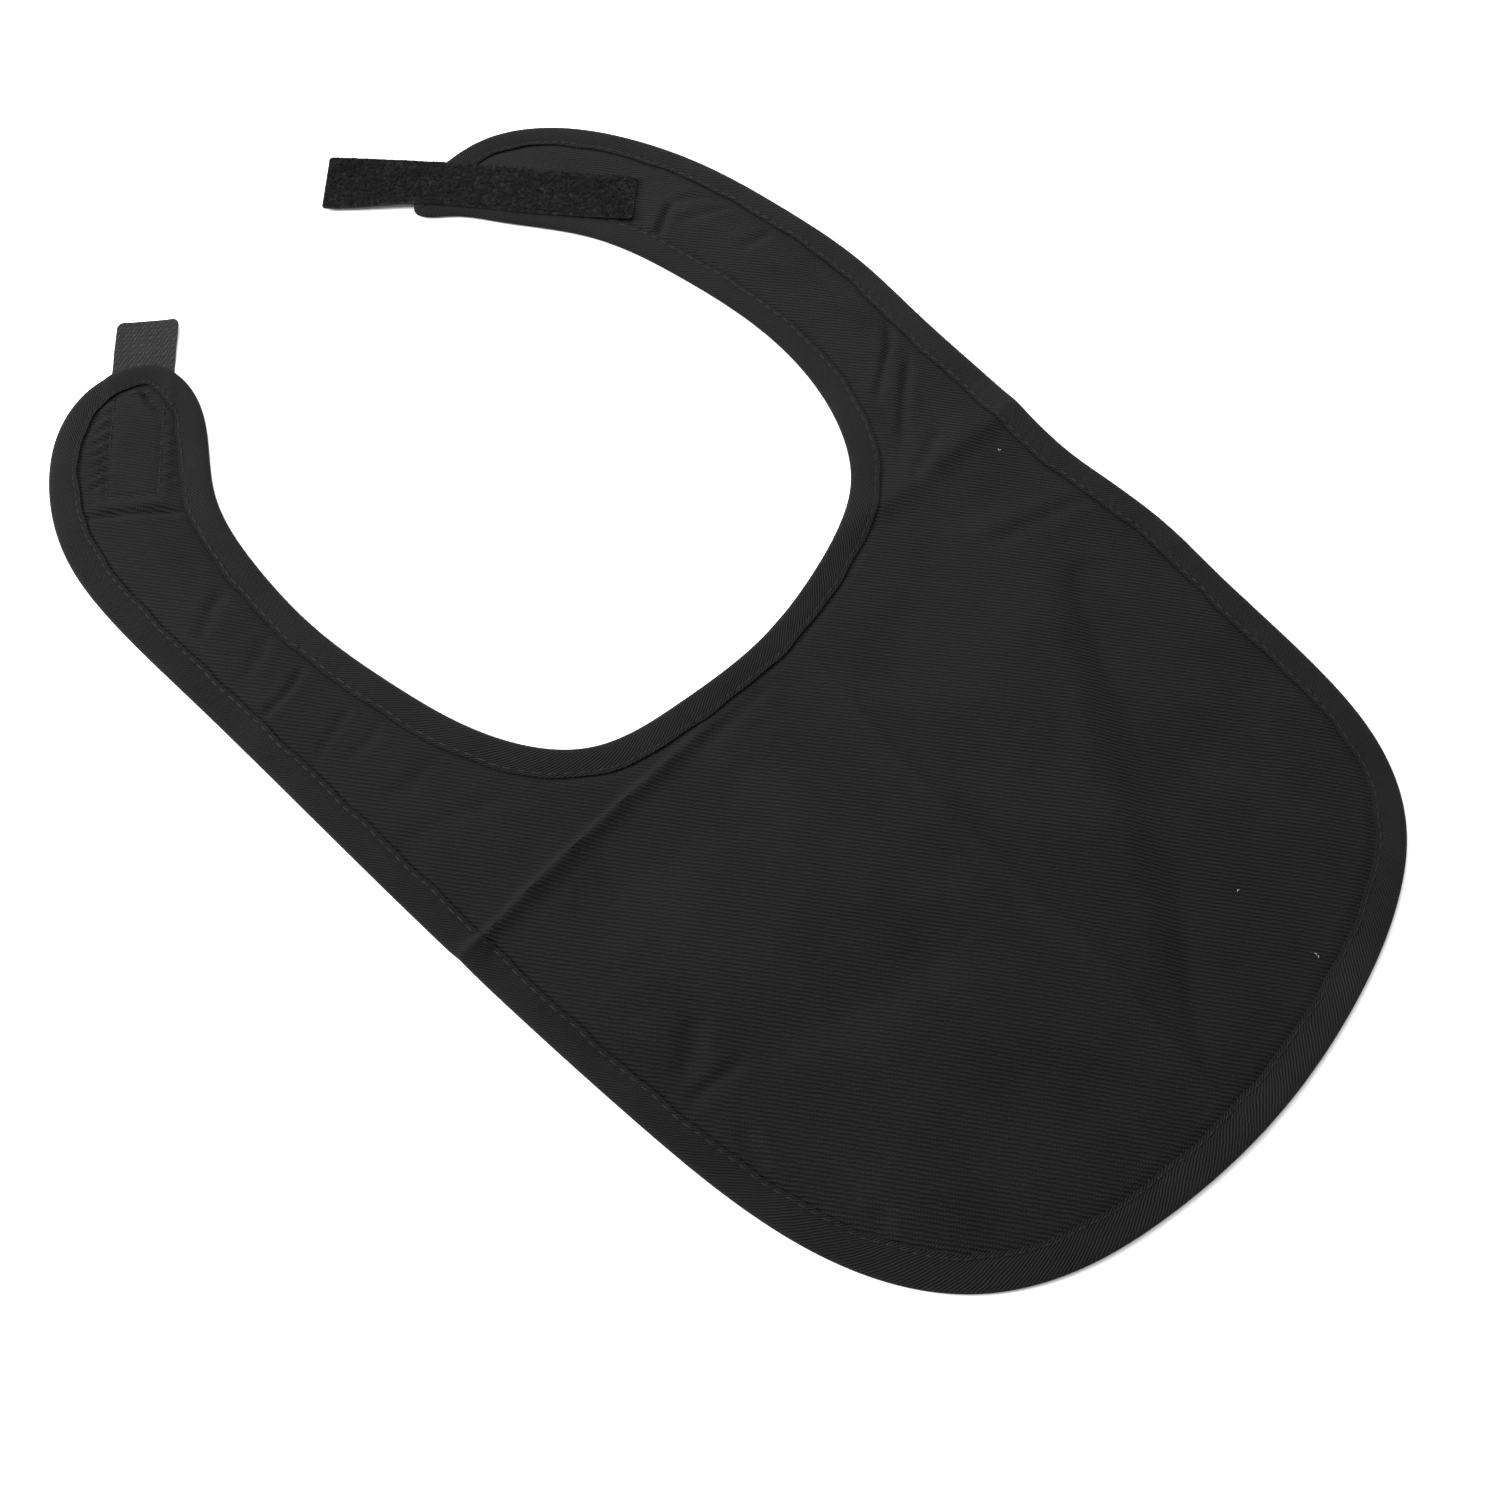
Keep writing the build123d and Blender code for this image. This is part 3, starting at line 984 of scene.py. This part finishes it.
def stitch_mesh(starts, ends, rise=1.0):
    """Short threads from start to end points, arched by rise and pulled into the cloth at both ends."""
    points, faces, weave = [], [], []
    for number, (a, b) in enumerate(zip(starts, ends)):
        a, b = np.array(a, float), np.array(b, float)
        along = b - a
        length = np.linalg.norm(along)
        across = np.cross(along / length, (0, 0, 1))
        across /= np.linalg.norm(across)
        base = len(points)
        for t in STITCH_RINGS:
            arch = math.sin(math.pi * t) ** 0.5 if 0 < t < 1 else 0.0
            thick = 0.4 + 0.6 * arch
            centre = a + along * t + np.array([0, 0, rise * (STITCH_ARCH * arch - STITCH_SUNK)])
            for k in range(STITCH_SIDES):
                turn = math.tau * k / STITCH_SIDES
                side = across * (math.cos(turn) * THREAD_WIDE / 2 * thick)
                over = math.sin(turn) * THREAD_HIGH / 2 * thick
                points.append(centre + side + np.array([0, 0, over]))
                weave.append((t * length + number * 7.3, k * 0.25))
        rings = len(STITCH_RINGS)
        for r in range(rings - 1):
            for k in range(STITCH_SIDES):
                n = (k + 1) % STITCH_SIDES
                low, high = base + r * STITCH_SIDES, base + (r + 1) * STITCH_SIDES
                faces.append([low + k, low + n, high + n, high + k])
        faces.append([base + k for k in reversed(range(STITCH_SIDES))])
        faces.append([base + (rings - 1) * STITCH_SIDES + k for k in range(STITCH_SIDES)])
    return points, faces, weave


def make_seam(side):
    """The row of stitches that holds the binding, on both faces of the apron."""
    place = binding_places(side)
    middles = np.arange(place[0] + STITCH_PITCH / 2, place[-1] - STITCH_PITCH / 2, STITCH_PITCH)
    rng = np.random.default_rng(SEAM_SEED[side])
    half = STITCH_LENGTH / 2 + rng.uniform(-0.15, 0.15, len(middles))
    all_points, all_faces, all_weave = [], [], []
    for over_floor, rise in SEAM_ROWS:
        ends = []
        for offset in (-half, half):
            at = middles + offset
            point, inward = edge_at(at)
            reach = furthest_in(at, BINDING_IN + 2)
            row = np.minimum(binding_width(at) - STITCH_IN, reach)
            flat = point + inward * row[:, None]
            ends.append(np.column_stack([flat, lift(flat, row) + over_floor]))
        points, faces, weave = stitch_mesh(*ends, rise)
        base = len(all_points)
        all_points += points
        all_faces += [[i + base for i in f] for f in faces]
        all_weave += weave
    all_points = np.array(all_points)
    all_points[:, 2] = np.maximum(all_points[:, 2], 0.02)
    obj = add_mesh(f"seam_{side}", all_points, all_faces, all_weave)
    dress(obj, THREAD, "thread")
    bend_with_arm(obj)
    stand_for(side, "binding_thread")
    return obj


def bind_edge(side):
    binding = make_binding(side)
    seam = make_seam(side)
    place = binding_places(side)


for _side in SIDES:
    make_front_cover(_side)
    make_back_cover(_side)
    make_lead_sheet(_side, "back")
    make_lead_sheet(_side, "front")
    bind_edge(_side)

# ---------------------------------------------------------------- tapes

TAPE_STEP = 1.2
TAPE_THICK = 0.45
BOX_MARGIN = 2.0        # from a tape's edge to the box of stitches that holds it


def rounded_loop(start, end, width, corner, step):
    """A rectangle with rounded corners, as places along and across a tape."""
    points = []
    corners = [(end - corner, width / 2 - corner, 0), (start + corner, width / 2 - corner, 90)]
    corners += [(start + corner, corner - width / 2, 180), (end - corner, corner - width / 2, 270)]
    for i, (x, y, turn) in enumerate(corners):
        for k in range(5):
            angle = math.radians(turn + 22.5 * k)
            points.append((x + corner * math.cos(angle), y + corner * math.sin(angle)))
        nx, ny, nturn = corners[(i + 1) % 4]
        angle = math.radians(nturn)
        target = (nx + corner * math.cos(angle), ny + corner * math.sin(angle))
        gap = math.dist(points[-1], target)
        parts = max(1, round(gap / step))
        last = points[-1]
        for k in range(1, parts):
            share = k / parts
            points.append(tuple(p + (q - p) * share for p, q in zip(last, target)))
    return np.array(points)


def tape_points(edge, degrees, along, across):
    """Where places along and across a tape are on the floor."""
    angle = math.radians(degrees)
    x = edge[0] + along * math.cos(angle) - across * math.sin(angle)
    y = edge[1] + along * math.sin(angle) + across * math.cos(angle)
    return np.stack([x, y], 1)


def hook_tape_at(along, across):
    """The hook tape's woven upper side. It lies under the arm, then rises a little past the edge."""
    flat = tape_points(HOOK_EDGE, HOOK_ANGLE, along, across - 0.05 * np.maximum(along + 2, 0))
    free = smooth(along, -1, 7)
    curl = 0.9 * smooth(along, 4, 26) + 0.35 * smooth(abs(across), 5, 10) * free
    height = 0.64 * (1 - free) + (1.15 + curl) * free
    return np.column_stack([flat, height])


LOOP_TWIST = math.radians(13.0)     # how far the loop tape's free end is turned up at its far edge
LOOP_BOW = (2.3, 1.9)               # how far the tape bows aside at the arm's edge and free end


def loop_tape_at(along, across):
    """The loop tape's upper side. It is sewn along the arm, and its free end twists off the floor."""
    free = smooth(along, -3, LOOP_FREE)
    twist = LOOP_TWIST * free
    bow = LOOP_BOW[1] * smooth(along, -5, LOOP_FREE) - LOOP_BOW[0] * np.exp(-((along + 5) / 28) ** 2)
    flat = tape_points(LOOP_EDGE, LOOP_ANGLE, along, across * np.cos(twist) + bow)
    inside, _ = depth(flat)
    on_arm = lift(flat, np.maximum(inside, 0)) + 2.25 + TAPE_THICK
    off_arm = 2.95 + 0.85 * free - across * np.sin(twist)
    edge_curl = 0.5 * smooth(abs(across), 6, 10) * smooth(-along, 55, 76)
    height = on_arm * (1 - smooth(along, -4, 6)) + off_arm * smooth(along, -4, 6) + edge_curl
    return np.column_stack([flat, height])


# A tape starts and ends at these places along it, counted from the arm's edge, where bend
# millimetres of it turn. surface gives its upper side, box_end where its box of stitches ends.
Tape = namedtuple("Tape", "name arm edge angle start end corner bend box_end surface material")
HOOK = Tape("hook", "left_arm", HOOK_EDGE, HOOK_ANGLE, -HOOK_SEWN, HOOK_FREE, 2.4, 7.0, -12.5,
            hook_tape_at, HOOK_WEAVE)
LOOP = Tape("loop", "right_arm", LOOP_EDGE, LOOP_ANGLE, 1.5 - LOOP_SEWN, LOOP_FREE, 1.2, 9.0, -1.5,
            loop_tape_at, PILE)


def bend_at_edge(obj):
    """Bakes the piece's placement into its points."""
    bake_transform(obj)


def make_strip(tape):
    """The woven strip of a tape, without its hooks or loops."""
    loop = rounded_loop(tape.start, tape.end, TAPE_WIDTH, tape.corner, TAPE_STEP)
    margin = 0.6 * TAPE_STEP

    def keep(grid):
        return (grid[:, 0] > tape.start + margin) & (grid[:, 0] < tape.end - margin) \
            & (abs(grid[:, 1]) < TAPE_WIDTH / 2 - margin)
    flat, faces = fill(loop, TAPE_STEP, keep)
    top = tape.surface(flat[:, 0], flat[:, 1])
    obj = thin_slab(f"{tape.name}_tape_strip", faces, top, top - [0, 0, TAPE_THICK], flat)
    dress(obj, tape.material, f"{tape.name}_tape")
    bend_at_edge(obj)
    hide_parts(f"{tape.name}_tape", f"{tape.name}_tab")
    return obj


def tubes(paths, radius, sides):
    """Thin closed tubes along many short paths of equal length, an array of (path, point, xyz)."""
    number, length, _ = paths.shape
    run = np.gradient(paths, axis=1)
    run /= np.linalg.norm(run, axis=2, keepdims=True) + 1e-9
    aside = np.cross(run, np.array([0.31, 0.24, 0.92]))
    aside /= np.linalg.norm(aside, axis=2, keepdims=True) + 1e-9
    over = np.cross(run, aside)
    rings = []
    for k in range(sides):
        turn = math.tau * k / sides
        rings.append(paths + radius * (aside * math.cos(turn) + over * math.sin(turn)))
    points = np.stack(rings, 2).reshape(-1, 3)
    faces = []
    for n in range(number):
        base = n * length * sides
        for r in range(length - 1):
            low = base + r * sides
            for k in range(sides):
                m = (k + 1) % sides
                faces.append([low + k, low + m, low + sides + m, low + sides + k])
        faces.append([base + k for k in reversed(range(sides))])
        last = base + (length - 1) * sides
        faces.append([last + k for k in range(sides)])
    return points, faces


HOOK_PITCH = (1.15, 1.25)
HOOK_HEIGHT = 0.62      # on the free end
HOOK_PRESSED = 0.20     # under the arm
HOOK_RADIUS = 0.08
# A hook's path: forward in millimetres, and down as a share of its height.
HOOK_SHAPE = [(0.0, 0.0), (0.02, 0.55), (0.16, 0.95), (0.36, 0.85), (0.42, 0.55)]


def make_hooks():
    """The hooks on the tape's underside: rows of small bent nylon stalks, pointing down."""
    rng = np.random.default_rng(41)
    along = np.arange(HOOK.start + 1.5, HOOK.end - 2.0, HOOK_PITCH[0])
    across = np.arange(1.4 - TAPE_WIDTH / 2, TAPE_WIDTH / 2 - 1.0, HOOK_PITCH[1])
    a, c = (grid.ravel() for grid in np.meshgrid(along, across))
    a = a + rng.uniform(-0.12, 0.12, len(a))
    root = hook_tape_at(a, c) - np.array([0, 0, TAPE_THICK - 0.05])
    reach = np.where(a > 2, HOOK_HEIGHT, HOOK_PRESSED)
    lean = np.where(np.arange(len(a)) % 2 == 0, 1.0, -1.0)
    angle = math.radians(HOOK_ANGLE)
    forward = np.array([math.cos(angle), math.sin(angle), 0])
    path = [root + forward * (lean * x)[:, None] - np.array([0, 0, 1]) * (reach * z)[:, None]
            for x, z in HOOK_SHAPE]
    path = np.stack(path, 1)
    path[..., 2] = np.maximum(path[..., 2], 0.08)
    points, faces = tubes(path, HOOK_RADIUS, 4)
    obj = add_mesh("hook_tape_hooks", points, faces, points[:, :2])
    dress(obj, HOOK_WEAVE, "hook_tape")
    bend_at_edge(obj)
    return obj


def box_path(start, end, half_width):
    """Stitch starts and ends round a rectangle, as places along and across a tape."""
    corners = [(start, -half_width), (end, -half_width), (end, half_width), (start, half_width)]
    starts, ends = [], []
    for (x0, y0), (x1, y1) in zip(corners, corners[1:] + corners[:1]):
        length = math.dist((x0, y0), (x1, y1))
        count = max(1, round(length / STITCH_PITCH))
        for k in range(count):
            low, high = (k + 0.15) / count, (k + 0.85) / count
            starts.append((x0 + (x1 - x0) * low, y0 + (y1 - y0) * low))
            ends.append((x0 + (x1 - x0) * high, y0 + (y1 - y0) * high))
    return np.array(starts), np.array(ends)


def hook_box_at(along, across):
    """On the front cover, over the hook tape."""
    flat = tape_points(HOOK_EDGE, HOOK_ANGLE, along, across)
    inside, _ = depth(flat)
    return np.column_stack([flat, front_top(flat, inside) + 0.05])


def loop_box_at(along, across):
    """On the loop tape, in its pile."""
    return loop_tape_at(along, across) + [0, 0, 0.12]


def make_box(tape, surface):
    """The box of stitches that holds a tape, lying on the given surface."""
    ends = box_path(tape.start + BOX_MARGIN, tape.box_end, TAPE_WIDTH / 2 - BOX_MARGIN)
    points, faces, weave = stitch_mesh(*[surface(places[:, 0], places[:, 1]) for places in ends])
    box = add_mesh(f"{tape.name}_tape_box_stitch", points, faces, weave)
    dress(box, THREAD, "thread")
    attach(box, tape.arm)
    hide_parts(f"{tape.name}_tape_thread")


LOOPS = 11000
LOOP_RADIUS = 0.055
LOOP_STATIONS = (0.0, 0.22, 0.5, 0.78, 1.0)     # the bends of a loop, as shares of its length


def make_pile():
    """The loop tape's pile: thousands of small nylon loops, brushed untidy."""
    rng = np.random.default_rng(51)
    along = rng.uniform(LOOP.start + 0.1, LOOP.end - 0.3, LOOPS)
    across = rng.uniform(-TAPE_WIDTH / 2 + 0.1, TAPE_WIDTH / 2 - 0.1, LOOPS)
    turn = rng.uniform(0, math.tau, LOOPS)
    span = rng.uniform(0.4, 1.1, LOOPS)
    height = rng.uniform(0.30, 0.85, LOOPS) + 0.25 * (rng.uniform(0, 1, LOOPS) > 0.93)
    lean = rng.normal(0, 0.22, (LOOPS, 2))
    stations = []
    for t in LOOP_STATIONS:
        a = along + np.cos(turn) * span * (t - 0.5) + lean[:, 0] * math.sin(math.pi * t)
        c = across + np.sin(turn) * span * (t - 0.5) + lean[:, 1] * math.sin(math.pi * t)
        place = loop_tape_at(a, c)
        place[:, 2] += height * math.sin(math.pi * t) ** 0.7 - 0.06
        stations.append(place)
    points, faces = tubes(np.stack(stations, 1), LOOP_RADIUS, 3)
    pile = add_mesh("loop_tape_pile", points, faces, points[:, :2])
    dress(pile, PILE, "loop_tape")
    bend_at_edge(pile)
    return pile


def sew_tape(tape, box_surface, make_nap):
    """A strip, its box of stitches and its hooks or loops, cut to length; the box is laid on the tape's
    arm.
    """
    strip = make_strip(tape)
    make_box(tape, box_surface)
    nap = make_nap()


sew_tape(HOOK, hook_box_at, make_hooks)
sew_tape(LOOP, loop_box_at, make_pile)

# ---------------------------------------------------------------- lint

LINT_AT = [(38.1, -175.7), (38.0, -202.6), (104.0, -29.1)]
LINT_STEPS, LINT_STEP = 6, 0.15
LINT_RADIUS = 0.06


def make_lint():
    """A few pale fibres caught on the cloth."""
    rng = np.random.default_rng(61)
    paths = []
    for x, y in LINT_AT:
        for _ in range(2):
            turn = rng.uniform(0, math.tau)
            bend = rng.uniform(-2.5, 2.5)
            place = np.array([x, y]) + rng.normal(0, 0.15, 2)
            steps = []
            for k in range(LINT_STEPS):
                steps.append(place)
                heading = turn + bend * k / LINT_STEPS
                place = place + LINT_STEP * np.array([math.cos(heading), math.sin(heading)])
            steps = np.array(steps)
            inside, _ = depth(steps)
            rise = 0.12 + 0.18 * np.sin(np.linspace(0, math.pi, len(steps)))
            paths.append(np.column_stack([steps, front_top(steps, inside) + rise]))
    points, faces = tubes(np.stack(paths), LINT_RADIUS, 4)
    obj = add_mesh("lint_specks", points, faces, points[:, :2])
    dress(obj, LINT, "thread")
    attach(obj, "bib")


make_lint()

for _name, _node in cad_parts.items():
    for _word, _material in CAD_MATERIAL.items():
        if _word in _name:
            _node.data.materials.clear()
            _node.data.materials.append(_material)
